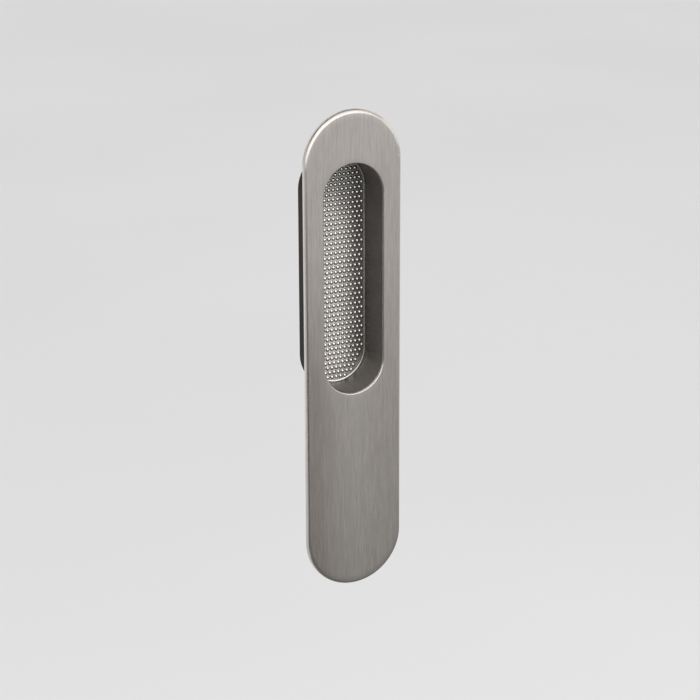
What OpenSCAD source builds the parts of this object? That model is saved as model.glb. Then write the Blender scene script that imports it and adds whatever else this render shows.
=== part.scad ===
// Recessed pull handle for a door: a pressed cover plate with a finger recess near its upper end.
//
// Each piece is drawn lying on its back. X is across the plate, Y is along it, and Z points out of
// the door, with Z = 0 on the door's face. stand_up() then turns the piece upright: the plate's
// length lies along +Z, its face looks along -Y, and the door is on the +Y side.
//
// The plate, the recess and everything that nests in the recess are stadiums: a straight stretch
// with a half circle at each end. stadium_sweep() carries one section round such a stadium.

/* [Cover plate] */
// Width of the plate
plate_w = 38; // [34:0.5:44]
// Length of the plate
plate_h = 180; // [170:1:200]
// How far the plate's face stands out from the door
plate_rise = 2.2; // [2.2:0.1:3]
// Thickness of the pressed sheet
plate_sheet = 1; // [0.8:0.1:1]
// Radius of the rounded outer edge
edge_r = 1.3; // [1.1:0.1:1.6]

/* [Finger recess] */
// Width of the recess at the plate's face
mouth_w = 23.6; // [22:0.2:25]
// Length of the recess at the plate's face
mouth_h = 85.6; // [80:0.2:90]
// Height of the recess's centre above the plate's centre
mouth_up = 28; // [22:1:30]
// Radius of the softened edge round the recess
mouth_r = 0.45; // [0.3:0.05:0.5]
// Depth from the plate's face to the ground between the pips
recess_depth = 15; // [12:0.5:18]

/* [Recess pan] */
// Thickness of the drawn sheet
pan_sheet = 0.5; // [0.4:0.1:0.6]
// Width of the pan's flange, measured from the outside of its wall
pan_flange = 1.8; // [1.4:0.1:2.2]
// Bend radius between the pan's flange and its wall
pan_lip_r = 0.4; // [0.3:0.1:0.5]
// Bend radius between the pan's wall and its floor
pan_floor_r = 0.8; // [0.6:0.1:1]

/* [Pip insert] */
// Thickness of the insert under the pips
insert_t = 1; // [1:0.1:1.3]
// Gap between the insert's edge and the pan's wall
insert_gap = 0.1; // [0.1:0.05:0.3]
// Radius of the cove that turns the insert's edge up
cove_r = 0.35; // [0.3:0.05:0.6]
// Width of the flat on top of the turned-up edge
cove_land = 0.1; // [0.1:0.05:0.3]
// Spacing of the pips along a row
pip_pitch = 1.76; // [1.7:0.02:2.2]
// Spacing of the rows, every second one shifted by half a pitch
pip_row = 1.82; // [1.7:0.02:2.2]
// Radius of the ball that a pip is the cap of
pip_r = 1; // [0.96:0.01:1]
// Depth of that ball's centre under the ground
pip_sink = 0.54; // [0.54:0.02:0.7]
// Least distance from a pip's centre to the insert's edge
pip_margin = 1.1; // [1.1:0.05:1.5]
// Thickness of the adhesive pad under the insert
pad_t = 0.2; // [0.1:0.05:0.3]

/* [Moulded base] */
// Gap between the base and the cover's skirt
base_gap = 0.2; // [0.1:0.05:0.4]
// How far the base's back stays inside the cover's rim
base_inset = 0.15; // [0.1:0.05:0.3]
// Wall of the box behind the recess, at its rear end
box_wall = 1.4; // [0.9:0.1:1.6]
// Extra wall at the box's root, which gives the mould its draft
box_draft = 0.15; // [0:0.05:0.3]
// Floor of the box
box_floor = 1.15; // [1:0.05:1.5]
// Radius of the box's rear edge
box_edge_r = 0.8; // [0.4:0.1:1]
// Fillet between the box and the back of the base
box_root_r = 0.7; // [0.3:0.1:1]
// Gap between the pan and the box
box_gap = 0.05; // [0.05:0.05:0.2]

/* [Fixings] */
// Distance between the two fixings along the plate
fixing_pitch = 160; // [156:1:162]
// Radius of the thread, drawn as a plain cylinder at its tapping size
thread_r = 1.65; // [1.25:0.05:2.1]
// Length of each stud
stud_l = 5.6; // [5:0.2:6]
// Radius of the stud's welded foot
stud_foot_r = 2.7; // [2.4:0.1:3]
// Thickness of the stud's welded foot
stud_foot_t = 0.7; // [0.5:0.1:0.8]
// Outer radius of the washer
washer_r = 4.5; // [4.2:0.1:5]
// Thickness of the washer
washer_t = 0.8; // [0.5:0.1:1]
// Clearance of the washer's hole round the stud
washer_clear = 0.5; // [0.3:0.1:0.7]
// Width of the spacer across its flats
spacer_af = 7; // [6.5:0.5:8]
// Length of the spacer
spacer_l = 12; // [12:0.5:14]
// Chamfer on the spacer's corners
spacer_edge = 0.4; // [0.2:0.1:0.5]
// Depth of the spacer's tapped hole on the door side
fixing_depth = 6.5; // [5:0.5:6.5]
// Room left past the stud's end in its own tapped hole
stud_room = 0.3; // [0.2:0.1:0.6]

/* [Hidden] */
$fn = 96;
PIP_FN = 24;
PIP_FOOT = 0.05;
EPS = 0.01;
STUD_SLACK = 0.03;

plate_r = plate_w / 2;
plate_run = plate_h - plate_w;
web_back = plate_rise - plate_sheet;
skirt_r = plate_r - plate_sheet;
skirt_bend_r = edge_r - plate_sheet;

mouth_half = mouth_w / 2;
mouth_run = mouth_h - mouth_w;
ground_z = plate_rise - recess_depth;
insert_back = ground_z - insert_t;
pan_floor_z = insert_back - pad_t;
pan_back = pan_floor_z - pan_sheet;
pan_outer_r = mouth_half + pan_sheet;
pan_flange_r = pan_outer_r + pan_flange;
pan_flange_back = web_back - pan_sheet;
pan_floor_flat_r = mouth_half - pan_floor_r;

insert_r = mouth_half - insert_gap;
insert_edge_r = pan_floor_r - insert_gap;
cove_start = insert_r - cove_land - cove_r;

base_r = skirt_r - base_gap;
base_edge_r = skirt_bend_r + base_gap;
base_hole_r = stud_foot_r + base_gap;
box_inner_r = pan_outer_r + box_gap;
box_rear_r = box_inner_r + box_wall;
box_root_half = box_rear_r + box_draft;
box_cavity_z = pan_back - box_gap;
box_rear_z = box_cavity_z - box_floor;
flange_seat_r = pan_flange_r + base_gap;

washer_hole_r = thread_r + washer_clear;
spacer_front = base_inset - washer_t;
stud_end = web_back - stud_l;
stud_hole_depth = spacer_front - stud_end + stud_room;

// The middle two rows lie half a spacing below and above the recess's centre.
row_count = ceil(mouth_h / 2 / pip_row);
pip_count = ceil(mouth_half / pip_pitch);

// Turns a piece that lies on its back upright, with its face towards -Y
module stand_up() {
    rotate([90, 0, 0]) children();
}

// Carries a section round a stadium whose straight stretch is run long. The section's x is the
// distance from the centre line, and its y is the height above the door's face.
module stadium_sweep(run) {
    for (end = [0, 1])
        mirror([0, end, 0])
            translate([0, run / 2, 0])
                rotate_extrude(angle = 180) children();
    for (side = [0, 1])
        mirror([side, 0, 0])
            rotate([90, 0, 0])
                linear_extrude(height = run, center = true) children();
}

// The same, centred on the recess
module recess_sweep() {
    translate([0, mouth_up, 0]) stadium_sweep(mouth_run) children();
}

// Section of a flat slab of half width half, from z0 up to z1
module slab(half, z0, z1) {
    translate([0, z0]) square([half, z1 - z0]);
}

// Section of a slab whose upper outer corner is rounded
module slab_round_top(half, z0, z1, r) {
    slab(half - r, z0, z1);
    slab(half, z0, z1 - r);
    translate([half - r, z1 - r]) intersection() {
        circle(r);
        square(r);
    }
}

// Section of a slab whose lower outer corner is rounded
module slab_round_foot(half, z0, z1, r) {
    slab(half - r, z0, z1);
    slab(half, z0 + r, z1);
    translate([half - r, z0 + r]) intersection() {
        circle(r);
        translate([0, -r]) square(r);
    }
}

// Section of the sliver that a rounding of radius r takes off a corner at [x, z]. The material lies
// on the far side of x and under z.
module corner_sliver(x, z, r) {
    translate([x, z - r]) difference() {
        square([r, r + EPS]);
        translate([r, 0]) circle(r);
    }
}

// Places a piece at each fixing; upper is 1 for the upper one and -1 for the lower one
module at_fixing(upper) {
    translate([0, upper * fixing_pitch / 2, 0]) children();
}

// Pressed cover: a flat web, an outer edge drawn back to the door, and the opening of the recess
module face_plate() {
    color("silver") stand_up() difference() {
        stadium_sweep(plate_run) slab_round_top(plate_r, 0, plate_rise, edge_r);
        stadium_sweep(plate_run) slab_round_top(skirt_r, -EPS, web_back, skirt_bend_r);
        recess_sweep() slab(mouth_half, web_back - EPS, plate_rise + EPS);
        recess_sweep() corner_sliver(mouth_half, plate_rise, mouth_r);
    }
}

// Drawn pan that lines the recess, with a flange behind the cover's web
module recess_pan() {
    color("dimgray") stand_up() difference() {
        union() {
            recess_sweep() slab(pan_flange_r, pan_flange_back, web_back);
            recess_sweep() slab_round_foot(pan_outer_r, pan_back, web_back, pan_floor_r + pan_sheet);
        }
        recess_sweep() slab_round_foot(mouth_half, pan_floor_z, web_back + EPS, pan_floor_r);
        recess_sweep() corner_sliver(mouth_half, web_back, pan_lip_r);
    }
}

// True where a pip's centre at [x, y], measured from the recess's centre, is inside the field
function in_field(x, y) =
    norm([x, max(abs(y) - mouth_run / 2, 0)]) <= insert_r - pip_margin;

// One pip: the cap of a ball, with its foot sunk a little into the ground
module pip() {
    rotate_extrude($fn = PIP_FN) intersection() {
        translate([0, -pip_sink]) circle(pip_r, $fn = PIP_FN);
        translate([0, -PIP_FOOT]) square([pip_r, pip_r]);
    }
}

// Rows of pips, every second row shifted by half a pitch
module pips() {
    for (row = [-row_count : row_count])
        for (column = [-pip_count : pip_count]) {
            x = (column + (row % 2 == 0 ? 0 : 0.5)) * pip_pitch;
            y = (row - 0.5) * pip_row;
            if (in_field(x, y))
                translate([x, mouth_up + y, ground_z]) pip();
        }
}

// Insert on the floor of the recess: a plate with an upturned edge and a field of pips
module pip_insert() {
    color("lightgray") stand_up() union() {
        recess_sweep() {
            slab_round_foot(insert_r, insert_back, ground_z, insert_edge_r);
            difference() {
                translate([cove_start, ground_z]) square([cove_r + cove_land, cove_r]);
                translate([cove_start, ground_z + cove_r]) circle(cove_r);
            }
        }
        pips();
    }
}

// Double-sided pad that holds the insert on the pan's floor
module insert_pad() {
    color("white") stand_up()
        recess_sweep() slab(pan_floor_flat_r, pan_floor_z, insert_back);
}

// Moulded base that fills the cover's back and boxes in the pan
module moulded_base() {
    color([0.13, 0.12, 0.11]) stand_up() difference() {
        union() {
            stadium_sweep(plate_run) slab_round_top(base_r, base_inset, web_back, base_edge_r);
            recess_sweep() polygon([
                [0, box_rear_z + box_edge_r],
                [box_rear_r, box_rear_z + box_edge_r],
                [box_root_half, base_inset + EPS],
                [0, base_inset + EPS]
            ]);
            recess_sweep() slab_round_foot(box_rear_r, box_rear_z, box_rear_z + 2 * box_edge_r, box_edge_r);
            recess_sweep() difference() {
                translate([box_rear_r, base_inset - box_root_r])
                    square([box_root_r + box_draft, box_root_r + EPS]);
                translate([box_root_half + box_root_r, base_inset - box_root_r]) circle(box_root_r);
            }
        }
        recess_sweep() slab_round_foot(box_inner_r, box_cavity_z, web_back + EPS, pan_floor_r + pan_sheet);
        recess_sweep() slab(flange_seat_r, pan_flange_back, web_back + EPS);
        for (upper = [1, -1])
            at_fixing(upper) cylinder(r = base_hole_r, h = web_back + EPS);
    }
}

// Stud welded to the back of the cover's web by its flat foot
module stud() {
    translate([0, 0, web_back - stud_foot_t]) cylinder(r = stud_foot_r, h = stud_foot_t);
    translate([0, 0, stud_end]) cylinder(r = thread_r - STUD_SLACK, h = stud_l);
}

// Plain washer between the base and the spacer
module washer() {
    translate([0, 0, base_inset - washer_t]) difference() {
        cylinder(r = washer_r, h = washer_t);
        translate([0, 0, -EPS]) cylinder(r = washer_hole_r, h = washer_t + 2 * EPS);
    }
}

// Hexagonal spacer, tapped from both ends: it nips the base to the stud and takes the door's screw
module spacer() {
    corner_r = spacer_af / 2 / cos(30);
    translate([0, 0, spacer_front - spacer_l]) difference() {
        intersection() {
            cylinder(r = corner_r, h = spacer_l, $fn = 6);
            rotate_extrude() {
                square([corner_r - spacer_edge, spacer_l]);
                polygon([
                    [corner_r - spacer_edge, 0],
                    [corner_r, spacer_edge],
                    [corner_r, spacer_l - spacer_edge],
                    [corner_r - spacer_edge, spacer_l]
                ]);
            }
        }
        translate([0, 0, -EPS]) cylinder(r = thread_r, h = fixing_depth + EPS);
        translate([0, 0, spacer_l - stud_hole_depth]) cylinder(r = thread_r, h = stud_hole_depth + EPS);
    }
}

module upper_stud() {
    color("gainsboro") stand_up() at_fixing(1) stud();
}

module lower_stud() {
    color("gainsboro") stand_up() at_fixing(-1) stud();
}

module upper_washer() {
    color("silver") stand_up() at_fixing(1) washer();
}

module lower_washer() {
    color("silver") stand_up() at_fixing(-1) washer();
}

module upper_spacer() {
    color("gold") stand_up() at_fixing(1) spacer();
}

module lower_spacer() {
    color("gold") stand_up() at_fixing(-1) spacer();
}

face_plate();
recess_pan();
pip_insert();
insert_pad();
moulded_base();
upper_stud();
lower_stud();
upper_washer();
lower_washer();
upper_spacer();
lower_spacer();
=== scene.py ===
# %% [markdown]
# # A recessed pull handle, dressed for its picture
#
# The handle is a few nested shells: a pressed cover, a drawn pan, a bright insert with rows of
# pips, and a black moulded base with a box behind the recess. Their shapes come from the part's
# own solids. This lesson gives every piece its finish and sets up a small studio round the
# handle. It models two things again: the insert, because its solid is heavy, and the spacers,
# because their solids have no thread.

# %% Load the solids
import math

import bpy
from mathutils import Matrix, Vector


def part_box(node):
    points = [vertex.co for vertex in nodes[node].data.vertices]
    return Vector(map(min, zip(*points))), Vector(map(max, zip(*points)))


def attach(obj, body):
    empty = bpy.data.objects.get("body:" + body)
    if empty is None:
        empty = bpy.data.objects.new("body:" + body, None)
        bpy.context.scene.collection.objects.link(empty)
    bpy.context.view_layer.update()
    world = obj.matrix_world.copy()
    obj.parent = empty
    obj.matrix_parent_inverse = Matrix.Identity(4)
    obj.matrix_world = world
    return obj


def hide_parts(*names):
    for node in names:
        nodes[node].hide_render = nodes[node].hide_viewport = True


MM = 0.001
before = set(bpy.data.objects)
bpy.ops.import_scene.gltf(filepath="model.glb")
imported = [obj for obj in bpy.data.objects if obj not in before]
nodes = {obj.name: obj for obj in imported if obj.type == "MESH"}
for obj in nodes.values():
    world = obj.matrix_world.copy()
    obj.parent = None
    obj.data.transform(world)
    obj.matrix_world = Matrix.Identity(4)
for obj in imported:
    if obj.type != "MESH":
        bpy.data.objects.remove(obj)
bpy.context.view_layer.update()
print("solids:", ", ".join(sorted(nodes)))

# %% [markdown]
# ## The camera
#
# The picture was taken with a long lens from the left of the handle and a little above it. A
# camera can be placed by pointing it at a target with a constraint, but four plain numbers say
# more: how far it is turned to the side, how far it is raised, how far it is tilted, and its
# distance. The camera's axes are worked out from them.

# %% Place the camera
CAMERA_YAW = math.radians(26.29)
CAMERA_PITCH = math.radians(18.35)
CAMERA_ROLL = math.radians(-0.20)
CAMERA_DISTANCE = 793.7 * MM
CAMERA_AIM = Vector((-1.767, -2.2, 2.098)) * MM
CAMERA_LENS = 113.14
CAMERA_SENSOR = 36
NEAREST_SEEN = 0.05
FARTHEST_SEEN = 50

back = Vector((
    -math.sin(CAMERA_YAW) * math.cos(CAMERA_PITCH),
    -math.cos(CAMERA_YAW) * math.cos(CAMERA_PITCH),
    math.sin(CAMERA_PITCH),
))
level_right = Vector((math.cos(CAMERA_YAW), -math.sin(CAMERA_YAW), 0))
level_up = back.cross(level_right)
right = level_right * math.cos(CAMERA_ROLL) + level_up * math.sin(CAMERA_ROLL)
up = back.cross(right)

camera_data = bpy.data.cameras.new("camera")
camera_data.lens = CAMERA_LENS
camera_data.sensor_width = CAMERA_SENSOR
camera_data.clip_start = NEAREST_SEEN
camera_data.clip_end = FARTHEST_SEEN
camera = bpy.data.objects.new("camera", camera_data)
bpy.context.scene.collection.objects.link(camera)
camera.matrix_world = Matrix.Translation(CAMERA_AIM + back * CAMERA_DISTANCE) @ Matrix(
    (right, up, back)
).transposed().to_4x4()
bpy.context.scene.camera = camera
print("camera at", [round(value, 3) for value in camera.matrix_world.translation])

# %% [markdown]
# ## Helpers for materials
#
# Every finish here is a small network of shader nodes. Writing each node out takes four or five
# lines, so a small class does it: it starts a material, adds nodes with their settings and
# inputs, and reads the place on the piece. All patterns read Object coordinates. Each piece's
# object sits at the origin, so those are metres in the handle's own frame. Noise runs from 0 to 1
# but mostly keeps between 0.3 and 0.7, so a ramp stretches that middle part to what is wanted.
# A bump is given by its depth in metres and its strength.


# %% Helpers for materials
METAL = 1
NOT_METAL = 0


class Finish:
    """A material that is being built: its tree, its shader and short ways to add nodes."""

    def __init__(self, name, color, roughness, metallic):
        self.material = bpy.data.materials.new(name)
        self.material.use_nodes = True
        self.tree = self.material.node_tree
        self.shader = self.tree.nodes["Principled BSDF"]
        self.shader.inputs["Base Color"].default_value = (*color, 1)
        self.shader.inputs["Roughness"].default_value = roughness
        self.shader.inputs["Metallic"].default_value = metallic

    def add(self, kind, settings=None, **inputs):
        """Adds a node. inputs are values or the outputs of other nodes, by socket name."""
        node = self.tree.nodes.new("ShaderNode" + kind)
        for name, value in (settings or {}).items():
            setattr(node, name, value)
        for name, value in inputs.items():
            self.feed(node.inputs[name.replace("_", " ")], value)
        return node

    def feed(self, socket, value):
        """Links an output to a socket, or sets the socket to a plain value."""
        if isinstance(value, bpy.types.NodeSocket):
            self.tree.links.new(value, socket)
        else:
            socket.default_value = value

    def math(self, operation, *values, clamp=False):
        """One step of arithmetic on numbers."""
        node = self.add("Math", {"operation": operation, "use_clamp": clamp})
        for socket, value in zip(node.inputs, values):
            self.feed(socket, value)
        return node.outputs[0]

    def place(self, scale=(1, 1, 1)):
        """The place on the piece, in metres, stretched along each axis by scale."""
        coordinates = self.add("TexCoord").outputs["Object"]
        return self.add("Mapping", Vector=coordinates, Scale=scale).outputs[0]

    def noise(self, vector, scale, detail=2, roughness=0.5):
        """Smooth noise from 0 to 1."""
        return self.add(
            "TexNoise", Vector=vector, Scale=scale, Detail=detail, Roughness=roughness
        ).outputs[0]

    def ramp(self, factor, low, high, out_low=0, out_high=1):
        """Stretches factor so that low becomes out_low and high becomes out_high."""
        node = self.add("MapRange", {"interpolation_type": "SMOOTHSTEP"}, Value=factor)
        for name, value in zip(
            ("From Min", "From Max", "To Min", "To Max"), (low, high, out_low, out_high)
        ):
            self.feed(node.inputs[name], value)
        return node.outputs[0]

    def tint(self, factor, dark, light, blend="MIX"):
        """A colour between dark and light, or with blend MULTIPLY the two multiplied."""
        node = self.add("Mix", {"data_type": "RGBA", "blend_type": blend})
        self.feed(node.inputs["Factor"], factor)
        self.feed(node.inputs[6], (*dark, 1) if isinstance(dark, tuple) else dark)
        self.feed(node.inputs[7], (*light, 1) if isinstance(light, tuple) else light)
        return node.outputs[2]

    def between(self, factor, start, end):
        """A place or a direction between start and end."""
        node = self.add("Mix", {"data_type": "VECTOR"})
        self.feed(node.inputs["Factor"], factor)
        self.feed(node.inputs[4], start)
        self.feed(node.inputs[5], end)
        return node.outputs[1]

    def bump(self, height, distance, strength=1.0, under=None):
        """Turns a height from 0 to 1 into a bump of that depth in metres."""
        node = self.add("Bump", Height=height, Distance=distance, Strength=strength)
        if under is not None:
            self.feed(node.inputs["Normal"], under)
        return node.outputs[0]

    def wear(self, **sockets):
        """Feeds the shader's own sockets."""
        for name, value in sockets.items():
            self.feed(self.shader.inputs[name.replace("_", " ")], value)
        print("finish made:", self.material.name)
        return self.material


def dress(node_name, material):
    """Puts one material on a solid, in its own slot."""
    nodes[node_name].data.materials[0] = material
    print("dressed", node_name, "with", material.name)


# %% [markdown]
# ## Brushed satin nickel for the cover
#
# The cover's face is drawn over a wide abrasive belt, so thousands of fine lines run along its
# length, and light spreads across them but not along them. The rim is finished after it, by a
# belt that follows the edge. Lines could be a picture, but a picture blurs close up and has
# seams, so here they are worked out from the plate's shape. The plate and its mouth are both
# stadiums: everything within one distance of a straight line down the middle. Where a place lies
# along that line, and how far from it, is nearly all that the finish needs to know.

# %% The cover's two stadiums
PLATE_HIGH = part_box("face_plate")[1]
PLATE_HALF = PLATE_HIGH.x
PLATE_END = PLATE_HIGH.z - PLATE_HALF
PLATE_EDGE = 1.3 * MM
MOUTH_HALF = 11.8 * MM
MOUTH_END = 31 * MM
MOUTH_UP = 28 * MM
MOUTH_EDGE = 0.45 * MM


def from_middle_line(finish, across, along, half_length, middle):
    """The distance to a stadium's middle line, and the parts of it along and past that line."""
    reached = finish.add(
        "Clamp", Value=along, Min=middle - half_length, Max=middle + half_length
    ).outputs[0]
    past_end = finish.math("SUBTRACT", along, reached)
    flat = finish.add("CombineXYZ", X=across, Y=0.0, Z=past_end).outputs[0]
    distance = finish.add("VectorMath", {"operation": "LENGTH"}, Vector=flat).outputs["Value"]
    return distance, reached, past_end


print("cover's middle line runs", round(PLATE_END / MM, 2), "mm up and down from its centre")

# %% [markdown]
# A soft belt rubs hardest beside an edge, so the face falls away there by a few hundredths of a
# millimetre. That could be modelled, but it is thinner than a hair, so it is a bump beside the
# rim and beside the mouth, and it bends the reflections there.

# %% Shoulders beside the edges
SHOULDER = 2.0 * MM
SHOULDER_DROP = 0.06 * MM


def shoulder(finish, gap):
    """1 at an edge, falling to 0 where the belt left the face flat."""
    near = finish.math("SUBTRACT", 1, finish.math("DIVIDE", gap, SHOULDER, clamp=True), clamp=True)
    return finish.math("MULTIPLY", near, near)


def worn_shoulders(finish, from_plate, from_mouth):
    """The shoulder inside the rim and the one round the mouth, added up."""
    return finish.math(
        "ADD",
        shoulder(finish, finish.math("SUBTRACT", PLATE_HALF - PLATE_EDGE, from_plate)),
        shoulder(finish, finish.math("SUBTRACT", from_mouth, MOUTH_HALF + MOUTH_EDGE)),
    )


# %% [markdown]
# The lines are noise stretched twenty times or more along the brush: fine ones, with coarser
# ones among them. On the face the brush runs along the plate. On the rim it runs round the two
# half circles, so the noise is laid out there along the rim's own length. How squarely the
# surface faces the front tells the face from the rim.

# %% Lines from the brush
RIM_FACING = 0.9
FACE_FACING = 0.99
FINE_LINE = (0.26 * MM, 6 * MM)
COARSE_LINE = (0.8 * MM, 16 * MM)
FINE_SHARE = 0.65
LINE_DETAIL = 3
LINE_ROUGHNESS = 0.65


def facing_front(finish):
    """From 0 on the rim to 1 on the face."""
    normal = finish.add("NewGeometry").outputs["Normal"]
    facing = finish.math("ABSOLUTE", finish.add("SeparateXYZ", Vector=normal).outputs["Y"])
    return finish.ramp(facing, RIM_FACING, FACE_FACING)


def along_rim(finish, depth, across, reached, past_end):
    """The place on the rim, with its length measured round the half circles."""
    turn = finish.math("ARCTAN2", past_end, finish.math("ABSOLUTE", across))
    round_length = finish.math("ADD", reached, finish.math("MULTIPLY", turn, PLATE_HALF))
    return finish.add("CombineXYZ", X=depth, Y=0.0, Z=round_length).outputs[0]


def stroke(finish, place, width, length):
    """Noise stretched along the brush: lines so wide and so long."""
    stretched = finish.add(
        "Mapping", Vector=place, Scale=(1 / width, 1 / width, 1 / length)
    ).outputs[0]
    return finish.noise(stretched, 1, LINE_DETAIL, LINE_ROUGHNESS)


def brush_lines(finish, place):
    """The fine lines and the coarse ones, added up by their shares."""
    fine = finish.math("MULTIPLY", stroke(finish, place, *FINE_LINE), FINE_SHARE)
    coarse = finish.math("MULTIPLY", stroke(finish, place, *COARSE_LINE), 1 - FINE_SHARE)
    return finish.math("ADD", fine, coarse)


def brush_direction(finish, on_face, across, past_end):
    """Along the plate on its face, and round the half circles on its rim."""
    round_end = finish.add(
        "CombineXYZ", X=finish.math("MULTIPLY", past_end, -1), Y=0.0, Z=across
    ).outputs[0]
    brush = finish.between(on_face, round_end, (0, 0, 1))
    return finish.add("VectorMath", {"operation": "NORMALIZE"}, Vector=brush).outputs[0]


# %% [markdown]
# The finish then puts these together. The shader's anisotropy spreads a reflection along the
# direction that it is given. Brushed metal spreads it across the lines, so the brush's direction
# is turned by a quarter. The face's colour also has painted shade: it is a little darker along
# its long sides towards the lower end, and more so on the left.

# %% Brushed satin nickel
NICKEL = (0.63, 0.592, 0.558)
NICKEL_DARK = (0.50, 0.468, 0.438)
NICKEL_ROUGHNESS = (0.33, 0.27)
CLOUD_ROUGHNESS = (-0.02, 0.02)
CLOUD_SCALE = 90
ALONG_THE_PLATE = (1, 1, 0.35)
LINE_BUMP = (0.004 * MM, 0.35)
# This tone and the three numbers after it paint shade into the face's colour along its long sides.
SIDE_SHADE_TONE = (0.72, 0.70, 0.675)
SIDE_SHADE_FULL = -20 * MM
SIDE_SHADE_NONE = 45 * MM
SIDE_SHADE_RIGHT = 0.3
ACROSS_BRUSH = 0.6
QUARTER_TURN = 0.25


def painted_side_shade(finish, across, along):
    """Painted shade: from 0 to 1 towards the long sides, the lower end and the left."""
    side = finish.ramp(finish.math("ABSOLUTE", across), 0, PLATE_HALF)
    low = finish.ramp(along, SIDE_SHADE_FULL, SIDE_SHADE_NONE, 1, 0)
    left = finish.ramp(across, -PLATE_HALF, PLATE_HALF, 1, SIDE_SHADE_RIGHT)
    return finish.math("MULTIPLY", finish.math("MULTIPLY", side, low), left)


def brushed_nickel():
    finish = Finish("brushed_nickel", NICKEL, 0.3, METAL)
    place = finish.place()
    axes = finish.add("SeparateXYZ", Vector=place)
    across, depth, along = axes.outputs["X"], axes.outputs["Y"], axes.outputs["Z"]
    from_plate, reached, past_end = from_middle_line(finish, across, along, PLATE_END, 0)
    from_mouth = from_middle_line(finish, across, along, MOUTH_END, MOUTH_UP)[0]
    on_face = facing_front(finish)
    rim_place = along_rim(finish, depth, across, reached, past_end)
    lines = brush_lines(finish, finish.between(on_face, rim_place, place))
    cloud = finish.noise(finish.place(ALONG_THE_PLATE), CLOUD_SCALE)
    nickel = finish.tint(finish.ramp(lines, 0.34, 0.66), NICKEL_DARK, NICKEL)
    # Painted shade, on the face only: darker along the long sides, the lower end and the left.
    side = finish.math("MULTIPLY", painted_side_shade(finish, across, along), on_face)
    shoulders = finish.bump(worn_shoulders(finish, from_plate, from_mouth), -SHOULDER_DROP)
    finish.shader.inputs["Anisotropic"].default_value = ACROSS_BRUSH
    finish.shader.inputs["Anisotropic Rotation"].default_value = QUARTER_TURN
    return finish.wear(
        Base_Color=finish.tint(1.0, nickel, finish.tint(side, (1, 1, 1), SIDE_SHADE_TONE), "MULTIPLY"),
        Roughness=finish.math(
            "ADD",
            finish.ramp(lines, 0.3, 0.7, *NICKEL_ROUGHNESS),
            finish.ramp(cloud, 0.35, 0.65, *CLOUD_ROUGHNESS),
        ),
        Tangent=brush_direction(finish, on_face, across, past_end),
        Normal=finish.bump(lines, *LINE_BUMP, under=shoulders),
    )


dress("face_plate", brushed_nickel())

# %% [markdown]
# ## Satin metal for the pan
#
# The pan is drawn from thin sheet in a press, and left a dark satin. The punch leaves faint lines
# down its wall, from the mouth to the floor. They are noise again, stretched along the depth. A
# bright metal with shade painted on it would be the other way, but shade painted on stays when
# the light moves. So the metal itself is dark, as sheet is that hasn't been brushed.

# %% Satin metal for the pan
PAN_METAL = (0.14, 0.130, 0.120)
PAN_DARK = (0.112, 0.104, 0.096)
PAN_METALLIC = 0.6
PAN_ROUGHNESS = (0.34, 0.40)
PRESS_LINE_SCALE = 2500
DOWN_THE_WALL = (1, 0.04, 1)
PAN_CLOUD_SCALE = 140
PRESS_LINE_BUMP = (0.003 * MM, 0.4)


def drawn_metal():
    finish = Finish("drawn_metal", PAN_METAL, 0.4, PAN_METALLIC)
    lines = finish.noise(finish.place(DOWN_THE_WALL), PRESS_LINE_SCALE, 3)
    cloud = finish.noise(finish.place(), PAN_CLOUD_SCALE, 3)
    shade = finish.math("MULTIPLY", finish.math("ADD", lines, cloud), 0.5)
    return finish.wear(
        Base_Color=finish.tint(finish.ramp(shade, 0.35, 0.65), PAN_DARK, PAN_METAL),
        Roughness=finish.ramp(cloud, 0.3, 0.7, *PAN_ROUGHNESS),
        Normal=finish.bump(lines, *PRESS_LINE_BUMP),
    )


dress("recess_pan", drawn_metal())

# %% [markdown]
# ## The pip insert, modelled again
#
# The insert is a stamped plate with an upturned edge and over five hundred round pips. Its solid
# is exact, but cut into triangles it takes nearly two hundred thousand of them. So it is modelled
# again here, with the same sizes: the plate is one outline, extruded and inset, and the pips are
# one low dome, copied to every place on the lattice. Smooth shading makes sixteen sides look
# round. The copies could be instances of one mesh, but one joined mesh is easier to hand on.

# %% Sizes of the insert
INSERT_LOW, INSERT_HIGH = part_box("pip_insert")
INSERT_HALF = INSERT_HIGH.x
INSERT_UP = (INSERT_LOW.z + INSERT_HIGH.z) / 2
INSERT_END = (INSERT_HIGH.z - INSERT_LOW.z) / 2 - INSERT_HALF
INSERT_BACK = INSERT_HIGH.y
INSERT_THICK = 1 * MM
GROUND = INSERT_BACK - INSERT_THICK
COVE = 0.35 * MM
COVE_LAND = 0.1 * MM
FOOT_RADIUS = 0.7 * MM
PIP_PITCH = 1.76 * MM
PIP_ROW = 1.82 * MM
PIP_RADIUS = 1.0 * MM
PIP_SINK = 0.54 * MM
PIP_MARGIN = 1.1 * MM
print("insert's ground at", round(GROUND / MM, 2), "mm behind the door's face")


# %% [markdown]
# ## Bright metal for the insert
#
# The insert is stamped from bright sheet, so its pips act as small curved mirrors: each one
# shows the whole studio as a white dot on a dark ball. That comes from low roughness, from the
# shape and from painted shade: the height above the ground tells the bright tops from the
# flanks, which are rougher and whose colour is painted darker, as shade round each pip's foot.
# The colour also has painted shade from the recess's walls: darker at the upper end and along the
# right-hand side, lighter lower down and on the left. A blend along and across the insert, made
# uneven by noise, mixes it in. The upturned edge is rougher than the ground, because the die
# drags over it. The ground and the pips have a finish each.

# %% Film and height on the insert
# These numbers shape the painted shade on the insert's colour, darker at the upper end and on the
# right.
FULL_RECESS_SHADE = 1.2
RECESS_SHADE_SIDE = 0.9
RECESS_SHADE_CLOUD = 0.12
RECESS_SHADE_CLOUD_SCALE = 160
GRAIN_SCALE = 4200
GRAIN_BUMP = (0.006 * MM, 0.3)


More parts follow.
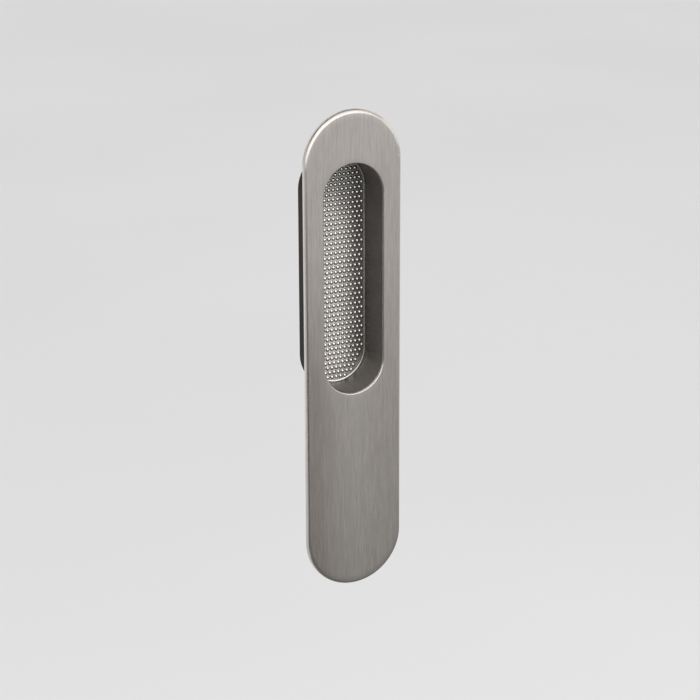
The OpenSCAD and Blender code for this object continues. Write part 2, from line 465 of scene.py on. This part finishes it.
def painted_recess_shade(finish):
    """Painted shade: from 0, unshaded, to 1 at the upper end and on the right."""
    axes = finish.add("SeparateXYZ", Vector=finish.place())
    high = finish.ramp(
        axes.outputs["Z"], INSERT_UP + INSERT_END / 3, INSERT_UP + INSERT_END + INSERT_HALF
    )
    right = finish.ramp(axes.outputs["X"], -INSERT_HALF / 3, INSERT_HALF)
    patches = finish.noise(finish.place(), RECESS_SHADE_CLOUD_SCALE, 3)
    cloud = finish.ramp(patches, 0.25, 0.75, -RECESS_SHADE_CLOUD, RECESS_SHADE_CLOUD)
    level = finish.math("ADD", finish.math("MULTIPLY_ADD", right, RECESS_SHADE_SIDE, high), cloud)
    return finish.ramp(level, 0, FULL_RECESS_SHADE)


def above_ground(finish, low, high):
    """From 0 at one height above the ground to 1 at another."""
    depth = finish.add("SeparateXYZ", Vector=finish.place()).outputs["Y"]
    return finish.ramp(depth, GROUND - low, GROUND - high)


def stamped_grain(finish):
    """The fine grain that the sheet keeps from its rolling."""
    return finish.bump(finish.noise(finish.place(), GRAIN_SCALE, 3), *GRAIN_BUMP)


# %% [markdown]
# The ground's finish has a bright colour and a darker one with painted shade, blended by the
# painted shade's mask. The pips' finish has a pair for the tops and a pair for the flanks.

# %% Bright metal for the insert
# In each colour pair the darker one is painted shade.
GROUND_METAL = (0.92, 0.893, 0.86)
GROUND_SHADED = (0.40, 0.383, 0.362)
GROUND_ROUGHNESS = 0.24
EDGE_ROUGHNESS = 0.55
EDGE_START = 0.02 * MM
TOP_METAL = (0.72, 0.695, 0.664)
TOP_SHADED = (0.58, 0.558, 0.53)
TOP_ROUGHNESS = 0.17
# The flanks' colours are darker than the tops', as painted shade round each pip's foot; the second
# one also carries the recess's painted shade.
FLANK_FOOT_SHADE = (0.47, 0.45, 0.424)
FLANK_FOOT_AND_RECESS_SHADE = (0.12, 0.113, 0.105)
FLANK_ROUGHNESS = 0.3
FLANK_TOP = 0.2 * MM
TOP_START = 0.3 * MM


def ground_metal():
    finish = Finish("ground_metal", GROUND_METAL, GROUND_ROUGHNESS, METAL)
    on_edge = above_ground(finish, EDGE_START, COVE / 2)
    return finish.wear(
        # The colour gets painted shade, darker at the upper end and on the right.
        Base_Color=finish.tint(painted_recess_shade(finish), GROUND_METAL, GROUND_SHADED),
        Roughness=finish.ramp(on_edge, 0, 1, GROUND_ROUGHNESS, EDGE_ROUGHNESS),
        Normal=stamped_grain(finish),
    )


def pip_metal():
    finish = Finish("pip_metal", TOP_METAL, TOP_ROUGHNESS, METAL)
    # Painted shade from the recess's walls.
    painted_shade = painted_recess_shade(finish)
    on_top = above_ground(finish, FLANK_TOP, TOP_START)
    shaded_flank = finish.tint(painted_shade, FLANK_FOOT_SHADE, FLANK_FOOT_AND_RECESS_SHADE)
    top = finish.tint(painted_shade, TOP_METAL, TOP_SHADED)
    return finish.wear(
        # The flanks' darker colour at each pip's foot is painted shade.
        Base_Color=finish.tint(on_top, shaded_flank, top),
        Roughness=finish.ramp(on_top, 0, 1, FLANK_ROUGHNESS, TOP_ROUGHNESS),
        Normal=stamped_grain(finish),
    )


# %% [markdown]
# ## Helpers for modelling
#
# The pieces below are modelled with Blender's own tools, in edit mode, so a few steps come back
# again and again: pick a piece, put its place into its mesh, and select by place or by the way a
# face looks. A mouse would click on the right faces. A script has to say which ones it means.

# %% Helpers for picking and selecting
FINE = 0.001 * MM  # places nearer than this count as one


def pick(piece):
    """Leaves edit mode if need be, and selects this piece alone."""
    if bpy.context.mode != "OBJECT":
        bpy.ops.object.mode_set(mode="OBJECT")
    bpy.ops.object.select_all(action="DESELECT")
    piece.select_set(True)
    bpy.context.view_layer.objects.active = piece


def name_new(name):
    """Names the primitive that was just added, and puts its place into its mesh."""
    piece = bpy.context.active_object
    piece.name = name
    piece.data.name = name
    pick(piece)
    bpy.ops.object.transform_apply(location=True, rotation=True, scale=True)
    return piece


def select_where(piece, test, kind):
    """In edit mode, selects the faces for which test(place, normal) is true, or the edges whose
    two ends both pass it. An edge's end is tested with no normal."""
    bpy.ops.object.mode_set(mode="EDIT")
    bpy.ops.mesh.select_mode(type=kind)
    bpy.ops.mesh.select_all(action="DESELECT")
    bpy.ops.object.mode_set(mode="OBJECT")
    mesh = piece.data
    if kind == "FACE":
        for face in mesh.polygons:
            face.select = test(face.center, face.normal)
    else:
        for edge in mesh.edges:
            ends = [mesh.vertices[index].co for index in edge.vertices]
            edge.select = all(test(end, None) for end in ends)
    bpy.ops.object.mode_set(mode="EDIT")


# %% [markdown]
# Three more steps finish a mesh: apply a modifier, slice something off, and clean up. One helper
# measures the volume that a mesh holds. A mesh that is inside out looks right, but a cut made
# with it takes everything away, and the volume printed after each step shows that at once.

# %% Helpers for finishing a mesh
SMOOTH_ANGLE = 35


def apply_modifier(piece, kind, **settings):
    """Adds a modifier with its settings and applies it."""
    pick(piece)
    modifier = piece.modifiers.new(kind.lower(), kind)
    for name, value in settings.items():
        setattr(modifier, name, value)
    bpy.ops.object.modifier_apply(modifier=modifier.name)


def slice_off(point, normal, fill=True):
    """In edit mode, cuts away all that lies past a plane, and closes the cut unless told not to."""
    bpy.ops.mesh.select_all(action="SELECT")
    bpy.ops.mesh.bisect(
        plane_co=point, plane_no=normal, clear_outer=True, use_fill=fill, threshold=FINE
    )


def merge_doubles():
    """In edit mode, makes one vertex of those in the same place."""
    bpy.ops.mesh.select_all(action="SELECT")
    bpy.ops.mesh.remove_doubles(threshold=FINE / 2)


def volume_in(piece):
    """The volume a closed mesh holds. It is negative if the faces look inwards."""
    mesh = piece.data
    mesh.calc_loop_triangles()
    places = [vertex.co for vertex in mesh.vertices]
    return sum(
        places[a].dot(places[b].cross(places[c])) / 6
        for a, b, c in (triangle.vertices for triangle in mesh.loop_triangles)
    )


def clean_up(piece, angle=SMOOTH_ANGLE):
    """Merges doubles, turns faces outwards and shades smooth, but for edges sharper than angle."""
    pick(piece)
    bpy.ops.object.mode_set(mode="EDIT")
    merge_doubles()
    bpy.ops.mesh.normals_make_consistent(inside=False)
    bpy.ops.object.mode_set(mode="OBJECT")
    if volume_in(piece) < 0:
        piece.data.flip_normals()
    bpy.ops.object.shade_smooth_by_angle(angle=math.radians(angle))
    print(
        piece.name, "has", len(piece.data.polygons), "faces and holds",
        round(volume_in(piece) / MM**3, 2), "cubic mm",
    )


# %% [markdown]
# A stadium could be drawn point by point. Here it starts as a filled circle: the lower half is
# cut away, the straight edge is pulled down to the middle, and a mirror makes the other end.

# %% Model a flat stadium
END_STEPS = 96
STRAIGHT_ANGLE = 0.5


def flat_stadium(name, half, end, depth):
    """A flat stadium that faces the front, with its middle at the origin's height."""
    bpy.ops.mesh.primitive_circle_add(
        vertices=END_STEPS,
        radius=half,
        fill_type="NGON",
        location=(0, depth, 0),
        rotation=(math.pi / 2, 0, 0),
    )
    piece = name_new(name)
    bpy.ops.object.mode_set(mode="EDIT")
    slice_off((0, depth, 0), (0, 0, -1), fill=False)
    bpy.ops.mesh.select_all(action="SELECT")
    bpy.ops.transform.translate(value=(0, 0, end))
    select_where(piece, lambda place, normal: abs(place.z - end) < FINE, "EDGE")
    bpy.ops.mesh.extrude_edges_move(TRANSFORM_OT_translate={"value": (0, 0, -end)})
    apply_modifier(piece, "MIRROR", use_axis=(False, False, True), merge_threshold=FINE)
    bpy.ops.object.mode_set(mode="EDIT")
    merge_doubles()
    bpy.ops.mesh.dissolve_limited(angle_limit=math.radians(STRAIGHT_ANGLE))
    bpy.ops.object.mode_set(mode="OBJECT")
    return piece


# %% [markdown]
# The plate is then extruded to the height of its upturned edge. The flat on top of that edge is
# an inset, and the cove is a row of small insets, each one deeper, that follow a quarter circle.
# The rounded foot is a bevel.

# %% Model the insert's plate
CURVE_STEPS = 6
EDGE_TOP = GROUND - COVE

insert_plate = flat_stadium("stamped_insert", INSERT_HALF, INSERT_END, INSERT_BACK)
bpy.ops.object.mode_set(mode="EDIT")
bpy.ops.mesh.select_mode(type="FACE")
bpy.ops.mesh.select_all(action="SELECT")
bpy.ops.mesh.extrude_region_move(
    TRANSFORM_OT_translate={"value": (0, EDGE_TOP - INSERT_BACK, 0)}
)
select_where(insert_plate, lambda place, normal: abs(place.y - EDGE_TOP) < FINE, "FACE")
bpy.ops.mesh.inset(thickness=COVE_LAND)
for step in range(CURVE_STEPS):
    here = math.pi / 2 * step / CURVE_STEPS
    there = math.pi / 2 * (step + 1) / CURVE_STEPS
    bpy.ops.mesh.inset(
        thickness=COVE * (math.cos(here) - math.cos(there)),
        depth=-COVE * (math.sin(there) - math.sin(here)),
    )
select_where(insert_plate, lambda place, normal: abs(place.y - INSERT_BACK) < FINE, "EDGE")
bpy.ops.mesh.bevel(offset=FOOT_RADIUS, segments=CURVE_STEPS)
bpy.ops.mesh.select_all(action="SELECT")
bpy.ops.transform.translate(value=(0, 0, INSERT_UP))
clean_up(insert_plate)
insert_plate.data.materials.append(ground_metal())

# %% [markdown]
# One pip is the cap of a ball: a sphere cut off just under the ground.

# %% Model a pip
PIP_SIDES = 16
PIP_RINGS = 12
PIP_OVERLAP = 0.02 * MM
PIP_SMOOTH_ANGLE = 60

bpy.ops.mesh.primitive_uv_sphere_add(
    segments=PIP_SIDES,
    ring_count=PIP_RINGS,
    radius=PIP_RADIUS,
    location=(0, GROUND + PIP_SINK, INSERT_UP),
    rotation=(math.pi / 2, 0, 0),
)
pip = name_new("pip")
bpy.ops.object.mode_set(mode="EDIT")
slice_off((0, GROUND + PIP_OVERLAP, 0), (0, 1, 0))
clean_up(pip, PIP_SMOOTH_ANGLE)
pip.data.materials.append(pip_metal())

# %% [markdown]
# The lattice's even rows start on the centre line and the odd rows are shifted by half a pitch.
# The middle two rows lie half a spacing below and above the centre. A pip is only set where its
# centre is far enough from the plate's edge.

# %% Copy the pip over the lattice
ROWS = math.ceil((INSERT_HALF + INSERT_END) / PIP_ROW)
COLUMNS = math.ceil(INSERT_HALF / PIP_PITCH)


def in_field(x, z):
    """True where a pip may stand, measured from the middle of the insert."""
    past_end = max(abs(z) - INSERT_END, 0)
    return math.hypot(x, past_end) <= INSERT_HALF - PIP_MARGIN


pips = []
for row in range(-ROWS, ROWS + 1):
    for column in range(-COLUMNS, COLUMNS + 1):
        x = (column + row % 2 / 2) * PIP_PITCH
        z = (row - 0.5) * PIP_ROW
        if in_field(x, z):
            copy = pip.copy()
            copy.data = pip.data.copy()
            copy.data.transform(Matrix.Translation((x, 0, z)))
            bpy.context.scene.collection.objects.link(copy)
            pips.append(copy)
bpy.data.objects.remove(pip)
pick(insert_plate)
for copy in pips:
    copy.select_set(True)
bpy.ops.object.join()
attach(insert_plate, "root")
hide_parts("pip_insert")
print(len(pips), "pips,", len(insert_plate.data.polygons), "faces in all")

# %% [markdown]
# ## The spacers, with their threads
#
# Two hexagonal spacers hold the base and take the door's screws. Their solids have plain holes
# at the tapping size. The hole on the door's side can be looked into, so it gets a real thread.
# Each shape that is taken out of the bar is modelled as a tool of its own, and a boolean modifier
# does the cut. The other way is to build the walls of every hole by hand, which takes far longer.

# %% Helpers for cutting
TO_DOOR = (-math.pi / 2, 0, 0)


def cut(piece, tool, operation):
    """Cuts a tool out of a piece, or keeps what they share, and removes the tool."""
    apply_modifier(piece, "BOOLEAN", object=tool, operation=operation, solver="EXACT")
    bpy.data.objects.remove(tool)
    print(piece.name, "holds", round(volume_in(piece) / MM**3, 2), "cubic mm after the cut")


def rod(name, radius, start, stop, center, sides):
    """A plain rod that runs into the door, from one depth to another."""
    bpy.ops.mesh.primitive_cylinder_add(
        vertices=sides,
        radius=radius,
        depth=stop - start,
        location=(center.x, (start + stop) / 2, center.z),
        rotation=TO_DOOR,
    )
    return name_new(name)


# %% [markdown]
# A threaded rod cuts the thread. One point is extruded out and back in for the outline of one
# turn, and a screw modifier sweeps it up the axis. A few turns too many are made, and both ends
# are sliced off and closed.

# %% Model the tool for the thread
THREAD_PITCH = 0.7 * MM
THREAD_INNER = 1.65 * MM
THREAD_OUTER = 2.0 * MM
THREAD_SIDES = 32
THREAD_SMOOTH_ANGLE = 20
SPARE_TURNS = 3


def threaded_rod(start, stop, center):
    """A rod with a thread: one turn of its outline, swept up the axis and cut to length."""
    turns = math.ceil((stop - start) / THREAD_PITCH) + SPARE_TURNS
    bpy.ops.mesh.primitive_plane_add(
        size=THREAD_PITCH, location=(THREAD_INNER, start - THREAD_PITCH, 0)
    )
    piece = name_new("thread_tool")
    bpy.ops.object.mode_set(mode="EDIT")
    bpy.ops.mesh.select_mode(type="VERT")
    bpy.ops.mesh.select_all(action="SELECT")
    bpy.ops.mesh.merge(type="CENTER")
    for outward in (1, -1):
        step = (outward * (THREAD_OUTER - THREAD_INNER), THREAD_PITCH / 2, 0)
        bpy.ops.mesh.extrude_vertices_move(TRANSFORM_OT_translate={"value": step})
    apply_modifier(
        piece,
        "SCREW",
        axis="Y",
        angle=2 * math.pi,
        screw_offset=THREAD_PITCH,
        iterations=turns,
        steps=THREAD_SIDES,
        render_steps=THREAD_SIDES,
        use_merge_vertices=True,
        merge_threshold=FINE,
    )
    bpy.ops.object.mode_set(mode="EDIT")
    slice_off((0, start, 0), (0, -1, 0))
    slice_off((0, stop, 0), (0, 1, 0))
    bpy.ops.mesh.select_all(action="SELECT")
    bpy.ops.transform.translate(value=(center.x, 0, center.z))
    clean_up(piece, THREAD_SMOOTH_ANGLE)
    return piece


# %% [markdown]
# Hexagonal bar is turned to a chamfer at each end. That is cut here by keeping only what the bar
# shares with a chamfered round, just as a lathe would leave it. The round is a hair wider than
# the bar's corners, so it only takes them off at the ends. The thread, the plain hole for the
# stud and the cone at the mouth of the thread come out after that.

# %% Model the spacers
BAR_SIDES = 6
ROUND_SIDES = 64
ROUND_SPARE = 0.0125 * MM
BAR_CHAMFER = 0.45 * MM
END_FACING = 0.9
TAPPED_DEPTH = 6.5 * MM
STUD_HOLE_DEPTH = 4.05 * MM
HOLE_SIDES = 32
CONE_SIDES = 48
HOLE_CHAMFER = 0.45 * MM
CONE_RADIUS = THREAD_OUTER + HOLE_CHAMFER
CONE_DEPTH = CONE_RADIUS - THREAD_INNER
OVERLAP = 0.05 * MM
SPACER_SMOOTH_ANGLE = 25


def chamfered_round(radius, start, stop, center):
    """A round bar with both ends chamfered."""
    piece = rod("turned_round", radius, start, stop, center, ROUND_SIDES)
    select_where(piece, lambda place, normal: abs(normal.y) > END_FACING, "FACE")
    bpy.ops.mesh.bevel(offset=BAR_CHAMFER, segments=1)
    clean_up(piece)
    return piece


def mouth_cone(face, center):
    """The cone that opens the mouth of the thread, a little proud of the spacer's face."""
    bpy.ops.mesh.primitive_cone_add(
        vertices=CONE_SIDES,
        radius1=THREAD_INNER,
        radius2=CONE_RADIUS,
        depth=CONE_DEPTH,
        location=(center.x, face - CONE_DEPTH / 2 + OVERLAP, center.z),
        rotation=TO_DOOR,
    )
    return name_new("mouth_cone")


def spacer(node_name):
    """A hexagonal spacer with a threaded hole on the door's side and a plain one for the stud."""
    low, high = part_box(node_name)
    center = (low + high) / 2
    corner = high.x
    bpy.ops.mesh.primitive_cylinder_add(
        vertices=BAR_SIDES,
        radius=corner,
        depth=high.y - low.y,
        location=center,
        rotation=(-math.pi / 2, math.pi / 2, 0),
    )
    piece = name_new(node_name + "_turned")
    cut(piece, chamfered_round(corner + ROUND_SPARE, low.y, high.y, center), "INTERSECT")
    cut(piece, threaded_rod(high.y - TAPPED_DEPTH, high.y + OVERLAP, center), "DIFFERENCE")
    stud_hole = rod(
        "stud_hole", THREAD_INNER, low.y - OVERLAP, low.y + STUD_HOLE_DEPTH, center, HOLE_SIDES
    )
    cut(piece, stud_hole, "DIFFERENCE")
    cut(piece, mouth_cone(high.y, center), "DIFFERENCE")
    clean_up(piece, SPACER_SMOOTH_ANGLE)
    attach(piece, "root")
    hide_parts(node_name)
    return piece


spacers = [spacer("upper_spacer"), spacer("lower_spacer")]

# %% [markdown]
# ## Brass for the spacers
#
# The spacers are turned brass. The tool leaves fine rings round them, which are noise stretched
# every way but along the spacer. Where they were handled the brass is rubbed brighter, and where
# it was not it is a little darker and duller, in soft patches.

# %% Turned brass
BRASS = (0.62, 0.44, 0.19)
BRASS_DARK = (0.53, 0.37, 0.155)
BRASS_ROUGHNESS = (0.38, 0.22)
TOOL_LINE_SCALE = 9000
ROUND_THE_BAR = (0.05, 1, 0.05)
BRASS_CLOUD_SCALE = 420
TOOL_LINE_BUMP = (0.004 * MM, 0.5)


def turned_brass():
    finish = Finish("turned_brass", BRASS, 0.28, METAL)
    lines = finish.noise(finish.place(ROUND_THE_BAR), TOOL_LINE_SCALE)
    cloud = finish.noise(finish.place(), BRASS_CLOUD_SCALE, 4)
    return finish.wear(
        Base_Color=finish.tint(finish.ramp(cloud, 0.35, 0.6), BRASS_DARK, BRASS),
        Roughness=finish.ramp(cloud, 0.3, 0.7, *BRASS_ROUGHNESS),
        Normal=finish.bump(lines, *TOOL_LINE_BUMP),
    )


brass = turned_brass()
for piece in spacers:
    piece.data.materials.clear()
    piece.data.materials.append(brass)

# %% [markdown]
# ## Zinc for the washers and steel for the studs
#
# The washers are zinc plated, which looks like a patchwork of soft grey flakes. They come from a
# pattern of cells, each with its own shade. The studs are plain steel, with patches of brownish
# heat tint from the weld. They are hidden inside, but they get a finish of their own all the
# same, for whoever takes the part to pieces.

# %% Zinc plate and plain steel
ZINC = (0.62, 0.63, 0.65)
ZINC_DARK = (0.44, 0.45, 0.48)
ZINC_ROUGHNESS = (0.28, 0.45)
FLAKE_SCALE = 1600.0
ZINC_GRAIN_SCALE = 3000
ZINC_GRAIN_BUMP = (0.005 * MM, 0.4)
STEEL = (0.55, 0.54, 0.52)
STEEL_DARK = (0.36, 0.33, 0.30)
STEEL_ROUGHNESS = (0.45, 0.3)
STEEL_CLOUD_SCALE = 700
STEEL_CLOUD_BUMP = (0.01 * MM, 0.3)


def zinc_plate():
    finish = Finish("zinc_plate", ZINC, 0.35, METAL)
    flakes = finish.add(
        "TexVoronoi", Vector=finish.place(), Scale=FLAKE_SCALE
    ).outputs["Color"]
    flake = finish.add("SeparateColor", Color=flakes).outputs[0]
    return finish.wear(
        Base_Color=finish.tint(flake, ZINC_DARK, ZINC),
        Roughness=finish.ramp(flake, 0, 1, *ZINC_ROUGHNESS),
        Normal=finish.bump(finish.noise(finish.place(), ZINC_GRAIN_SCALE, 3), *ZINC_GRAIN_BUMP),
    )


def plain_steel():
    finish = Finish("plain_steel", STEEL, 0.35, METAL)
    cloud = finish.noise(finish.place(), STEEL_CLOUD_SCALE, 4)
    return finish.wear(
        Base_Color=finish.tint(finish.ramp(cloud, 0.3, 0.6), STEEL_DARK, STEEL),
        Roughness=finish.ramp(cloud, 0.3, 0.7, *STEEL_ROUGHNESS),
        Normal=finish.bump(cloud, *STEEL_CLOUD_BUMP),
    )


zinc = zinc_plate()
steel = plain_steel()
for end in ("upper", "lower"):
    dress(end + "_washer", zinc)
    dress(end + "_stud", steel)

# %% [markdown]
# ## Black moulded plastic for the base
#
# The base is an injection moulding from a mould with a fine spark-eroded texture, which gives
# the plastic a dry, even grain. The plastic flowed along the mould, so its black varies a little
# in long soft clouds. The ejector pins leave faint rings on the rear face. They are too shallow
# to model, so they are a bump at the pins' places.

# %% Black moulded plastic
BLACK = (0.008, 0.0065, 0.005)
BLACK_LIGHTER = (0.014, 0.012, 0.0095)
BLACK_ROUGHNESS = (0.55, 0.7)
BLACK_SHINE = 0.2
MOULD_GRAIN_SCALE = 5200
MOULD_GRAIN_BUMP = (0.02 * MM, 0.45)
FLOW_SCALE = 90
ALONG_THE_FLOW = (1, 1, 0.3)
PIN_RADIUS = 2.0 * MM
PIN_STEP = 31 * MM
PIN_LINE = 0.12 * MM
PIN_BUMP = (0.03 * MM, 0.5)


def pin_rings(finish):
    """0 on the ejector pins' rings and 1 away from them."""
    axes = finish.add("SeparateXYZ", Vector=finish.place())
    from_recess = finish.math("SUBTRACT", axes.outputs["Z"], INSERT_UP)
    pin_place = finish.math("PINGPONG", from_recess, PIN_STEP)
    flat = finish.add("CombineXYZ", X=axes.outputs["X"], Y=0.0, Z=pin_place).outputs[0]
    distance = finish.add("VectorMath", {"operation": "LENGTH"}, Vector=flat).outputs["Value"]
    from_ring = finish.math("ABSOLUTE", finish.math("SUBTRACT", distance, PIN_RADIUS))
    return finish.ramp(from_ring, 0, PIN_LINE)


def moulded_black():
    finish = Finish("moulded_black", BLACK, 0.62, NOT_METAL)
    finish.shader.inputs["Specular IOR Level"].default_value = BLACK_SHINE
    grain = finish.noise(finish.place(), MOULD_GRAIN_SCALE, 3, 0.6)
    flow = finish.noise(finish.place(ALONG_THE_FLOW), FLOW_SCALE, 3)
    grain_bump = finish.bump(grain, *MOULD_GRAIN_BUMP)
    return finish.wear(
        Base_Color=finish.tint(finish.ramp(flow, 0.35, 0.7), BLACK, BLACK_LIGHTER),
        Roughness=finish.ramp(grain, 0.3, 0.7, *BLACK_ROUGHNESS),
        Normal=finish.bump(pin_rings(finish), *PIN_BUMP, under=grain_bump),
    )


dress("moulded_base", moulded_black())

# %% [markdown]
# ## White foam for the pad
#
# A closed-cell foam pad lies under the insert, where it is hidden. The distance to the middle of
# the nearest cell, in a fine pattern of cells, gives round dents with thin walls between them.

# %% White foam
FOAM = (0.78, 0.78, 0.75)
FOAM_DARK = (0.6, 0.6, 0.57)
FOAM_ROUGHNESS = (0.75, 0.9)
CELL_SCALE = 5000.0
CELL_BUMP = (0.02 * MM, 0.5)


def white_foam():
    finish = Finish("white_foam", FOAM, 0.8, NOT_METAL)
    cells = finish.add("TexVoronoi", Vector=finish.place(), Scale=CELL_SCALE).outputs["Distance"]
    return finish.wear(
        Base_Color=finish.tint(finish.ramp(cells, 0.2, 0.7), FOAM, FOAM_DARK),
        Roughness=finish.ramp(cells, 0.2, 0.7, *FOAM_ROUGHNESS),
        Normal=finish.bump(cells, *CELL_BUMP),
    )


dress("insert_pad", white_foam())

# %% [markdown]
# ## The floor
#
# The handle hangs half a metre over a plain pale floor, which is all that the camera sees behind
# it. The paint varies by a few parts in a hundred, as a rolled studio floor does.

# %% The floor
FLOOR_DEPTH = 0.5
FLOOR_SIZE = 14.0
FLOOR_COLOR = (0.85, 0.85, 0.85)
FLOOR_SHADE = 0.97
FLOOR_CLOUD_SCALE = 1.5


def floor_paint():
    finish = Finish("floor_paint", FLOOR_COLOR, 0.9, NOT_METAL)
    cloud = finish.ramp(finish.noise(finish.place(), FLOOR_CLOUD_SCALE), 0.3, 0.7)
    dark = tuple(value * FLOOR_SHADE for value in FLOOR_COLOR)
    return finish.wear(Base_Color=finish.tint(cloud, dark, FLOOR_COLOR))


bpy.ops.mesh.primitive_plane_add(size=FLOOR_SIZE, location=(0, 0, -FLOOR_DEPTH))
floor = name_new("floor")
floor.data.materials.append(floor_paint())

# %% [markdown]
# ## The cards
#
# Metal shows what stands round it, so a photographer places plain cards there. A grey one in
# front, darker towards its lower edge, fills the brushed face. Dark ones draw the thin dark
# lines: on the left for the long edge, at the side and overhead for the outside of the white
# band, and underneath for the lower arc. Two pale ones behind light the edges: a high one for the
# outermost line and a low one for the long left side. Three pale windows, above and at both
# sides, light the pips from more than one direction. The cards are hidden from the camera, cast
# no shadow and light no dull surface, so they only show in reflections.


# %% A card that glows
def glow_paint(name, top, bottom):
    """A plain glow: top and bottom are its brightness at the card's two edges."""
    material = bpy.data.materials.new(name)
    material.use_nodes = True
    tree = material.node_tree
    tree.nodes.remove(tree.nodes["Principled BSDF"])
    glow = tree.nodes.new("ShaderNodeEmission")
    height = tree.nodes.new("ShaderNodeSeparateXYZ")
    where = tree.nodes.new("ShaderNodeUVMap")
    shade = tree.nodes.new("ShaderNodeMapRange")
    shade.inputs["To Min"].default_value = bottom
    shade.inputs["To Max"].default_value = top
    tree.links.new(where.outputs[0], height.inputs[0])
    tree.links.new(height.outputs["Y"], shade.inputs["Value"])
    tree.links.new(shade.outputs[0], glow.inputs["Strength"])
    tree.links.new(glow.outputs[0], tree.nodes["Material Output"].inputs["Surface"])
    return material


def card(name, center, across, upward, half_size, glow):
    """A flat glowing card, half_size along across and upward, with its glow at top and bottom."""
    across, upward = Vector(across).normalized(), Vector(upward).normalized()
    sides = Matrix((across * half_size[0], upward * half_size[1], across.cross(upward)))
    bpy.ops.mesh.primitive_plane_add(size=2)
    piece = bpy.context.active_object
    piece.name = name
    piece.data.transform(Matrix.Translation(center) @ sides.transposed().to_4x4())
    piece.data.materials.append(glow_paint(name, *glow))
    piece.visible_camera = False
    piece.visible_shadow = False
    piece.visible_diffuse = False


# %% [markdown]
# Each card is given by its centre, the directions of its two sides, half its width and height,
# and its brightness at the top and the bottom. The places are in metres, from the handle.

# %% Place the cards
SIDEWAYS = (1, 0, 0)
INTO_DOOR = (0, 1, 0)
UPWARD = (0, 0, 1)

card("grey_card", (0.35, -0.47, -0.215), SIDEWAYS, UPWARD, (0.55, 0.235), (0.68, 0.35))
card("left_card", (-0.40, -0.285, -0.25), (-0.40, 0.37, 0), UPWARD, (0.27, 0.20), (0.14, 0.08))
card("overhead_card", (-0.1, 0.55, 0.85), SIDEWAYS, (0, 0.8, -0.5), (1.0, 0.3), (0.15, 0.15))
card("side_card", (-0.36, 0.17, 0.46), (0.7, 0.08, 0.65), INTO_DOOR, (0.42, 0.16), (0.12, 0.12))
UNDER_SIDES = (0.86, 0.51, 0), (-0.51, 0.86, 0)
card("under_card", (0.27, -0.10, -0.33), *UNDER_SIDES, (0.50, 0.33), (0.14, 0.34))
card("back_card", (-0.18, 0.90, 0.45), SIDEWAYS, UPWARD, (0.42, 0.26), (1.3, 1.2))
card("low_card", (-0.50, 0.95, -0.28), SIDEWAYS, UPWARD, (0.45, 0.18), (1.15, 1.15))
card("top_window", (0.0, -0.30, 1.00), SIDEWAYS, (0, 0.95, 0.31), (1.1, 0.26), (1.6, 1.6))
card("left_window", (-1.05, -0.50, 0.30), (0.5, -0.9, 0), UPWARD, (0.45, 0.36), (2.2, 1.8))
card("right_window", (1.10, -0.10, 0.25), INTO_DOOR, UPWARD, (0.50, 0.26), (1.8, 1.4))
print("floor and cards set")

# %% [markdown]
# ## The light
#
# One wide soft lamp hangs above and in front. It draws the white band round the top of the rim
# and the thin white line under the recess, and it gives each pip its dot. The world fills the
# rest with even pale light. Its strength is kept at a plain level, so that a colour comes out
# about as it is written.

# %% Light
LAMP_PLACE = Vector((-0.1, -0.95, 0.56))
LAMP_WIDTH = 2.4
LAMP_HEIGHT = 1.1
LAMP_POWER = 10.5
WORLD_LIGHT = 0.81

lamp_data = bpy.data.lights.new("soft_lamp", "AREA")
lamp_data.shape = "RECTANGLE"
lamp_data.size = LAMP_WIDTH
lamp_data.size_y = LAMP_HEIGHT
lamp_data.energy = LAMP_POWER
lamp = bpy.data.objects.new("soft_lamp", lamp_data)
lamp.location = LAMP_PLACE
lamp.rotation_mode = "QUATERNION"
lamp.rotation_quaternion = (-LAMP_PLACE).to_track_quat("-Z", "Y")
bpy.context.scene.collection.objects.link(lamp)

world = bpy.data.worlds.new("studio")
world.use_nodes = True
bpy.context.scene.world = world
sky = world.node_tree.nodes["Background"]
sky.inputs["Color"].default_value = (1, 1, 1, 1)
sky.inputs["Strength"].default_value = WORLD_LIGHT
bpy.context.scene.view_settings.view_transform = "Standard"
print("lamp and world set")
